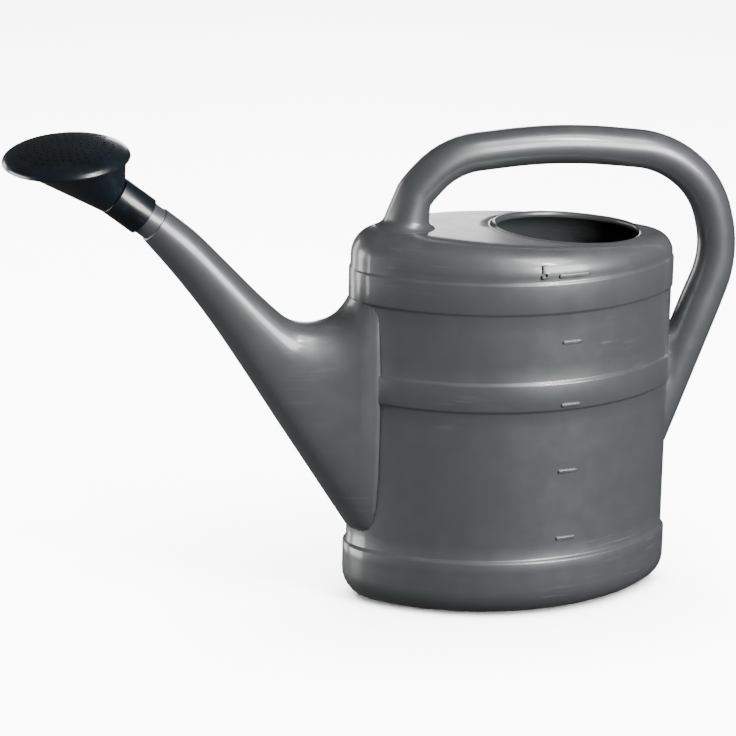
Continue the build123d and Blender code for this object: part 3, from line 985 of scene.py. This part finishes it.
def funnel_place(matrix, tilt, throat, drop, rim, along):
    """A ring of the funnel, between the throat, a little below the neck's axis, and the leaning rim."""
    def place(k):
        around = 2 * pi * k / ROSE_RING
        near = Vector((throat * cos(around) - drop, throat * sin(around), 0))
        far = tilt @ Vector((rim * cos(around), rim * sin(around), 0))
        return matrix @ near.lerp(far, along)
    return place


class WATERINGCAN_OT_face(bpy.types.Operator):
    """Build the rose's domed and perforated face"""
    bl_idname = "wateringcan.face"
    bl_label = "Rose face"

    def execute(self, context):
        tank, spout, rose = context.scene.can_tank, context.scene.can_spout, context.scene.can_rose
        matrix = rose_matrix(rose, spout, tank) @ face_matrix(rose, spout)
        plate = turned_piece(face_outline(rose), FACE_RING, matrix, "rose_face_plate")
        bm = bmesh.new()
        for radius, angle in hole_places(rose):
            spot = matrix @ Matrix.Translation((radius * cos(angle), radius * sin(angle), 0))
            bmesh.ops.create_cone(bm, cap_ends=True, segments=HOLE_SIDES, radius1=rose.hole / 2,
                                  radius2=rose.hole / 2, depth=5 * rose.dome, matrix=spot)
        cut_away(plate, [finish_mesh(bm, "holes")])
        place_piece(plate, "rose_head", rose_material(context), ("rose_face",))
        return {"FINISHED"}


def hole_places(rose):
    """Radius and angle of every hole, ring by ring."""
    yield 0, 0
    for ring in range(1, rose.rings + 1):
        count = round(2 * pi * ring)
        for step in range(count):
            yield ring * rose.pitch, 2 * pi * (step + ring % 2 / 2) / count


DOME_STEPS = 40                 # points along the top of the face's section, and half as many beneath
DOME_SPREAD = 0.82              # under 1, the dome is wider than half an ellipse
DOME_FALL = 0.95                # and falls later towards its edge


def face_outline(rose):
    """Half of the face's section: a dome that rolls smoothly over its edge, and the underside."""
    inner = rose.face_radius - rose.skirt_wall
    seat = inner - rose.wall - 0.7 * MM
    top = rose.rim_rounding + rose.dome
    low = rose.rim_rounding - rose.skirt
    hem = rose.hem
    points = []
    for step in range(0, DOME_STEPS + 1):
        angle = pi / 2 * step / DOME_STEPS
        radius = rose.face_radius * sin(angle) ** DOME_SPREAD
        points.append((radius, low + hem + (top - low - hem) * cos(angle) ** DOME_FALL))
    for turn in range(1, 5):
        angle = pi / 2 * turn / 4
        points.append((rose.face_radius - hem + hem * cos(angle), low + hem - hem * sin(angle)))
    points += [(inner, low), (inner, 0), (seat, 0)]
    under = top - rose.plate
    half = DOME_STEPS // 2
    points += [(seat * t / half, under - under * (t / half) ** 2) for t in range(half - 1, -1, -1)]
    return points


# ---------------------------------------------------------------- effects that the two plastics share
def new_group(name, inputs, outputs):
    """An empty node group with number sockets, and its two end nodes."""
    tree = bpy.data.node_groups.new(name, "ShaderNodeTree")
    for label, value in inputs.items():
        socket = tree.interface.new_socket(label, in_out="INPUT", socket_type="NodeSocketFloat")
        socket.default_value = value
    for label in outputs:
        tree.interface.new_socket(label, in_out="OUTPUT", socket_type="NodeSocketFloat")
    return tree, tree.nodes.new("NodeGroupInput"), tree.nodes.new("NodeGroupOutput")


def ramp(tree, source, low, high):
    """Map a value from between two limits to between 0 and 1, smoothly."""
    node = tree.nodes.new("ShaderNodeMapRange")
    node.interpolation_type = "SMOOTHSTEP"
    node.inputs["From Min"].default_value = low
    node.inputs["From Max"].default_value = high
    tree.links.new(source, node.inputs["Value"])
    return node.outputs["Result"]


def maths(tree, operation, first, second):
    """A maths node; each input is a socket or a number."""
    node = tree.nodes.new("ShaderNodeMath")
    node.operation = operation
    for socket, value in zip(node.inputs, (first, second)):
        if isinstance(value, (int, float)):
            socket.default_value = value
        else:
            tree.links.new(value, socket)
    return node.outputs[0]


def object_noise(tree, scale, detail, stretch=(1, 1, 1), roughness=0.5):
    """Noise on Object coordinates, stretched if asked."""
    place = tree.nodes.new("ShaderNodeTexCoord")
    mapping = tree.nodes.new("ShaderNodeMapping")
    mapping.inputs["Scale"].default_value = stretch
    noise = tree.nodes.new("ShaderNodeTexNoise")
    noise.inputs["Detail"].default_value = detail
    noise.inputs["Roughness"].default_value = roughness
    tree.links.new(place.outputs["Object"], mapping.inputs["Vector"])
    tree.links.new(mapping.outputs["Vector"], noise.inputs["Vector"])
    if isinstance(scale, (int, float)):
        noise.inputs["Scale"].default_value = scale
    else:
        tree.links.new(scale, noise.inputs["Scale"])
    return noise.outputs["Fac"]


def patches_group():
    """Soft cloudy patches, as in thick moulded plastic."""
    tree, start, end = new_group("patches", {"Scale": 9.0}, ["Mask"])
    noise = object_noise(tree, start.outputs["Scale"], 3)
    tree.links.new(ramp(tree, noise, 0.36, 0.66), end.inputs["Mask"])
    return tree


def grain_group():
    """The faint orange-peel of a mould's skin: a height, and a mottling of the gloss."""
    tree, start, end = new_group("mould_grain", {"Scale": 900.0, "Waves": 60.0, "Wave Share": 0.5},
                                 ["Height", "Mottle"])
    fine = object_noise(tree, start.outputs["Scale"], 2, roughness=0.6)
    broad = object_noise(tree, start.outputs["Waves"], 2)
    waves = maths(tree, "MULTIPLY", broad, start.outputs["Wave Share"])
    tree.links.new(maths(tree, "ADD", fine, waves), end.inputs["Height"])
    tree.links.new(ramp(tree, broad, 0.3, 0.7), end.inputs["Mottle"])
    return tree


def scuffs_group():
    """Dry scuffs: short level streaks, only in a few places."""
    tree, start, end = new_group("scuffs", {"Scale": 60.0, "Amount": 0.5}, ["Mask"])
    streaks = object_noise(tree, start.outputs["Scale"], 5, stretch=(0.5, 0.5, 9.0), roughness=0.65)
    where = object_noise(tree, 13.0, 2)
    cuts = ramp(tree, streaks, 0.56, 0.74)
    near = ramp(tree, where, 0.5, 0.68)
    both = maths(tree, "MULTIPLY", cuts, near)
    tree.links.new(maths(tree, "MULTIPLY", both, start.outputs["Amount"]), end.inputs["Mask"])
    return tree


def edge_group():
    """Rubbed outer edges and a painted highlight along convex edges, broken up by noise."""
    tree, start, end = new_group("edge_rubs_and_highlight", {"Amount": 0.5}, ["Mask"])
    form = tree.nodes.new("ShaderNodeNewGeometry")
    # Pointiness picks out convex edges, such as the bands' upper edges; the mask paints a highlight there as
    # well as rub marks.
    edges = ramp(tree, form.outputs["Pointiness"], 0.53, 0.62)
    broken = ramp(tree, object_noise(tree, 140.0, 4), 0.35, 0.65)
    both = maths(tree, "MULTIPLY", edges, broken)
    tree.links.new(maths(tree, "MULTIPLY", both, start.outputs["Amount"]), end.inputs["Mask"])
    return tree


def dust_group():
    """A breath of dust on faces that look up."""
    tree, start, end = new_group("dust", {"Amount": 0.3}, ["Mask"])
    form = tree.nodes.new("ShaderNodeNewGeometry")
    split = tree.nodes.new("ShaderNodeSeparateXYZ")
    tree.links.new(form.outputs["Normal"], split.inputs["Vector"])
    upward = ramp(tree, split.outputs["Z"], 0.35, 1.0)
    specks = ramp(tree, object_noise(tree, 45.0, 6, roughness=0.7), 0.42, 0.72)
    both = maths(tree, "MULTIPLY", upward, specks)
    tree.links.new(maths(tree, "MULTIPLY", both, start.outputs["Amount"]), end.inputs["Mask"])
    return tree


EFFECTS = {"patches": patches_group, "mould_grain": grain_group, "scuffs": scuffs_group,
           "edge_rubs_and_highlight": edge_group, "dust": dust_group}


def use_effect(tree, name, **values):
    """Place a shared effect in a material, with this material's own values."""
    node = tree.nodes.new("ShaderNodeGroup")
    node.node_tree = bpy.data.node_groups.get(name) or EFFECTS[name]()
    for key, value in values.items():
        node.inputs[key.replace("_", " ").title()].default_value = value
    return node


def mix_colour(tree, mask, low, high):
    """Mix two colours by a mask; each is a socket or a plain colour."""
    node = tree.nodes.new("ShaderNodeMix")
    node.data_type = "RGBA"
    tree.links.new(mask, node.inputs["Factor"])
    for socket, value in ((node.inputs[6], low), (node.inputs[7], high)):
        if isinstance(value, bpy.types.NodeSocket):
            tree.links.new(value, socket)
        else:
            socket.default_value = (*value, 1)
    return node.outputs[2]


def empty_material(name):
    """A material with only a Principled shader; gives back its node tree and the shader."""
    material = bpy.data.materials.new(name)
    material.use_nodes = True
    tree = material.node_tree
    tree.nodes.clear()
    shader = tree.nodes.new("ShaderNodeBsdfPrincipled")
    output = tree.nodes.new("ShaderNodeOutputMaterial")
    tree.links.new(shader.outputs["BSDF"], output.inputs["Surface"])
    return material, tree, shader


def add_bump(tree, shader, height, distance, strength):
    bump = tree.nodes.new("ShaderNodeBump")
    bump.inputs["Distance"].default_value = distance
    bump.inputs["Strength"].default_value = strength
    tree.links.new(height, bump.inputs["Height"])
    tree.links.new(bump.outputs["Normal"], shader.inputs["Normal"])


def can_material(context):
    """Anthracite polyethylene: semi-gloss, faintly patchy, scuffed and dusty, with rubbed edges that also
    carry a painted highlight.
    """
    if "can_plastic" in bpy.data.materials:
        return bpy.data.materials["can_plastic"]
    finish = context.scene.can_finish
    material, tree, shader = empty_material("can_plastic")
    patches = use_effect(tree, "patches", scale=9.0)
    grain = use_effect(tree, "mould_grain", scale=1400.0, waves=70.0, wave_share=1.6)
    scuffs = use_effect(tree, "scuffs", scale=55.0, amount=0.35)
    rubs_and_highlight = use_effect(tree, "edge_rubs_and_highlight", amount=0.35)
    dust = use_effect(tree, "dust", amount=0.18)
    tone = mix_colour(tree, patches.outputs["Mask"], finish.can, finish.can_tint)
    tone = mix_colour(tree, scuffs.outputs["Mask"], tone, finish.can_scuff_and_highlight)
    # Convex edges lightened: rub marks together with a painted highlight.
    tone = mix_colour(tree, rubs_and_highlight.outputs["Mask"], tone, finish.can_scuff_and_highlight)
    tone = mix_colour(tree, dust.outputs["Mask"], tone, finish.can_scuff_and_highlight)
    tree.links.new(tone, shader.inputs["Base Color"])
    rough = maths(tree, "MULTIPLY", grain.outputs["Mottle"], 0.06)
    rough = maths(tree, "ADD", rough, finish.can_gloss)
    worn = maths(tree, "MULTIPLY", scuffs.outputs["Mask"], 0.5)
    tree.links.new(maths(tree, "ADD", rough, worn), shader.inputs["Roughness"])
    shader.inputs["Specular IOR Level"].default_value = finish.can_shine
    shader.inputs["Coat Weight"].default_value = finish.can_coat
    shader.inputs["Coat Roughness"].default_value = finish.can_coat_gloss
    add_bump(tree, shader, grain.outputs["Height"], 0.03 * MM, 0.35)
    return material


def rose_material(context):
    """Near-black injection-moulded plastic, a little glossier than the can, with rubbed edges that also carry
    a painted highlight.
    """
    if "rose_plastic" in bpy.data.materials:
        return bpy.data.materials["rose_plastic"]
    finish = context.scene.can_finish
    material, tree, shader = empty_material("rose_plastic")
    patches = use_effect(tree, "patches", scale=24.0)
    grain = use_effect(tree, "mould_grain", scale=1800.0, waves=120.0, wave_share=1.2)
    rubs_and_highlight = use_effect(tree, "edge_rubs_and_highlight", amount=0.25)
    dust = use_effect(tree, "dust", amount=0.12)
    tone = mix_colour(tree, patches.outputs["Mask"], finish.rose, finish.rose_tint)
    # Convex edges lightened: rub marks together with a painted highlight.
    tone = mix_colour(tree, rubs_and_highlight.outputs["Mask"], tone, finish.rose_scuff_and_highlight)
    tone = mix_colour(tree, dust.outputs["Mask"], tone, finish.rose_scuff_and_highlight)
    tree.links.new(tone, shader.inputs["Base Color"])
    rough = maths(tree, "MULTIPLY", grain.outputs["Mottle"], 0.08)
    tree.links.new(maths(tree, "ADD", rough, finish.rose_gloss), shader.inputs["Roughness"])
    shader.inputs["Coat Weight"].default_value = finish.rose_coat
    shader.inputs["Coat Roughness"].default_value = finish.rose_coat_gloss
    add_bump(tree, shader, grain.outputs["Height"], 0.02 * MM, 0.3)
    return material


def floor_material(context):
    """Pale, even studio floor."""
    material, tree, shader = empty_material("studio_floor")
    patches = use_effect(tree, "patches", scale=3.0)
    pale = context.scene.can_finish.floor
    tone = mix_colour(tree, patches.outputs["Mask"], pale, [value * 0.99 for value in pale])
    tree.links.new(tone, shader.inputs["Base Color"])
    shader.inputs["Roughness"].default_value = 0.7
    return material


# ---------------------------------------------------------------- studio
# Name, bearing to the camera's right and height, both in degrees, width and height in metres, and watts.
LIGHTS = (
    ("soft_box", 47, 18, 1.1, 0.9, 80.0),
    ("high_box", 52, 52, 0.8, 0.8, 25.0),
    ("key_strip", 46, 40, 0.16, 0.34, 24.0),
    ("left_wall", -88, -2, 1.6, 1.2, 60.0),
    ("rim_box", -130, 0, 0.6, 1.5, 16.0),
    ("back_box", 181, 12, 0.45, 0.5, 4.0),
)


def add_light(name, place, width, height, power, aim):
    lamp = bpy.data.lights.new(name, "AREA")
    lamp.shape = "RECTANGLE"
    lamp.size = width
    lamp.size_y = height
    lamp.energy = power
    obj = bpy.data.objects.new(name, lamp)
    bpy.context.scene.collection.objects.link(obj)
    obj.location = place
    obj.rotation_euler = (aim - place).to_track_quat("-Z", "Y").to_euler()
    return obj


def add_studio_light(studio, name, bearing, height, width, tall, power):
    """A soft box at the studio's light distance, at a bearing and a height seen from the can."""
    turn = studio.azimuth + radians(bearing)
    level = radians(height)
    aim = Vector((studio.aim_x, 0, studio.target_z))
    out = Vector((sin(turn) * cos(level), -cos(turn) * cos(level), sin(level)))
    return add_light(name, aim + out * studio.light_distance, width, tall, power, aim)


def add_floor_light(studio, floor):
    """A lamp that lights only the floor, so that the floor can be paler than the can's light makes it."""
    aim = Vector((studio.target_x, 0, 0))
    place = aim + Vector((0, 0, studio.floor_light_height))
    size = studio.floor_light_size
    lamp = add_light("floor_box", place, size, size, studio.floor_light_power, aim)
    only = bpy.data.collections.new("floor_only")
    only.objects.link(floor)
    lamp.light_linking.receiver_collection = only
    floor.visible_diffuse = False
    floor.visible_glossy = False
    floor.visible_shadow = False


def add_camera(studio):
    """The camera, at the same angles and distance as a catalogue view of the near side."""
    a, e, r = studio.azimuth, studio.elevation, studio.roll
    back = Vector((sin(a) * cos(e), -cos(a) * cos(e), sin(e)))
    right = Vector((cos(a), sin(a), 0))
    up = back.cross(right)
    axes = Matrix((cos(r) * right + sin(r) * up, cos(r) * up - sin(r) * right, back)).transposed()
    lens = bpy.data.cameras.new("camera")
    lens.lens = studio.lens
    lens.clip_end = 20
    camera = bpy.data.objects.new("camera", lens)
    bpy.context.scene.collection.objects.link(camera)
    eye = Vector((studio.target_x, 0, studio.target_z)) + back * studio.distance
    camera.matrix_world = Matrix.Translation(eye) @ axes.to_4x4()
    bpy.context.scene.camera = camera


class WATERINGCAN_OT_studio(bpy.types.Operator):
    """Build the pale floor, the soft lights, the world and the camera"""
    bl_idname = "wateringcan.studio"
    bl_label = "Studio"

    def execute(self, context):
        studio = context.scene.can_studio
        add_camera(studio)
        bm = bmesh.new()
        bmesh.ops.create_grid(bm, x_segments=8, y_segments=8, size=studio.floor_size / 2)
        floor = finish_mesh(bm, "studio_floor")
        floor.data.materials.append(floor_material(context))
        for light in LIGHTS:
            add_studio_light(studio, *light)
        add_floor_light(studio, floor)
        world = bpy.data.worlds.new("studio_world")
        world.use_nodes = True
        background = world.node_tree.nodes["Background"]
        background.inputs["Color"].default_value = (1, 1, 1, 1)
        background.inputs["Strength"].default_value = studio.world
        context.scene.world = world
        return {"FINISHED"}


class WATERINGCAN_PT_panel(bpy.types.Panel):
    """Every size and colour, and a button for each piece"""
    bl_idname = "WATERINGCAN_PT_panel"
    bl_label = "Watering Can"
    bl_space_type = "VIEW_3D"
    bl_region_type = "UI"
    bl_category = "Watering Can"

    def draw(self, context):
        for operator in OPERATORS:
            self.layout.operator(operator.bl_idname)
        for name in SETTINGS:
            settings = getattr(context.scene, name)
            box = self.layout.box()
            for key in settings.__annotations__:
                box.prop(settings, key)


SETTINGS = {"can_tank": TankSizes, "can_handle": HandleSizes, "can_spout": SpoutSizes,
            "can_marks": MarkSizes, "can_rose": RoseSizes, "can_finish": Finish,
            "can_studio": StudioSettings}
OPERATORS = (WATERINGCAN_OT_studio, WATERINGCAN_OT_tank, WATERINGCAN_OT_handle, WATERINGCAN_OT_spout,
             WATERINGCAN_OT_marks, WATERINGCAN_OT_sleeve, WATERINGCAN_OT_funnel, WATERINGCAN_OT_face)


def register():
    for name, settings in SETTINGS.items():
        bpy.utils.register_class(settings)
        setattr(bpy.types.Scene, name, PointerProperty(type=settings))
    for operator in OPERATORS:
        bpy.utils.register_class(operator)
    bpy.utils.register_class(WATERINGCAN_PT_panel)


def unregister():
    bpy.utils.unregister_class(WATERINGCAN_PT_panel)
    for operator in reversed(OPERATORS):
        bpy.utils.unregister_class(operator)
    for name, settings in SETTINGS.items():
        delattr(bpy.types.Scene, name)
        bpy.utils.unregister_class(settings)


def main():
    register()
    bpy.ops.wateringcan.studio()
    bpy.ops.wateringcan.tank()
    bpy.ops.wateringcan.handle()
    bpy.ops.wateringcan.spout()
    bpy.ops.wateringcan.marks()
    bpy.ops.wateringcan.sleeve()
    bpy.ops.wateringcan.funnel()
    bpy.ops.wateringcan.face()


if __name__ == "__main__":
    main()
